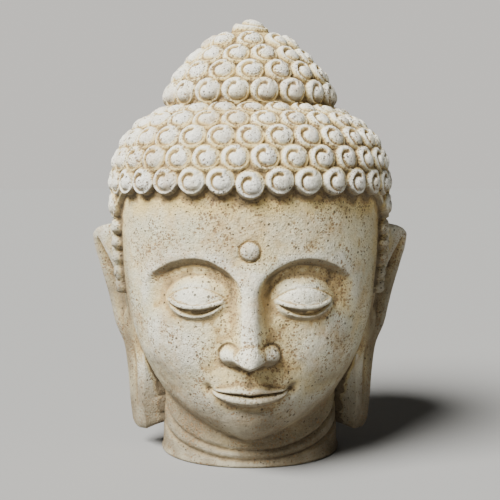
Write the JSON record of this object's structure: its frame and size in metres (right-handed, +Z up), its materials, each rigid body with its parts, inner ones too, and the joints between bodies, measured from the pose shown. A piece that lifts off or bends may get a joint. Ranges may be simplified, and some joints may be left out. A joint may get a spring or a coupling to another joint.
{
  "type": "stone buddha head",
  "caption": "Cast-stone Buddha head with closed eyes, long ears, rows of snail curls over cap and topknot, and a short neck cut flat to stand on.",
  "frame": {"origin": "centre of the flat underside of the neck", "axes": "+Z up from the underside to the top of the topknot, the face looks along -Y, +X is towards the head's own left ear"},
  "size_m": [0.3184, 0.298, 0.42],
  "materials": {
    "stone": "matt"
  },
  "bodies": {
    "root": {"buddha_head": "stone"}
  },
  "joints": []
}
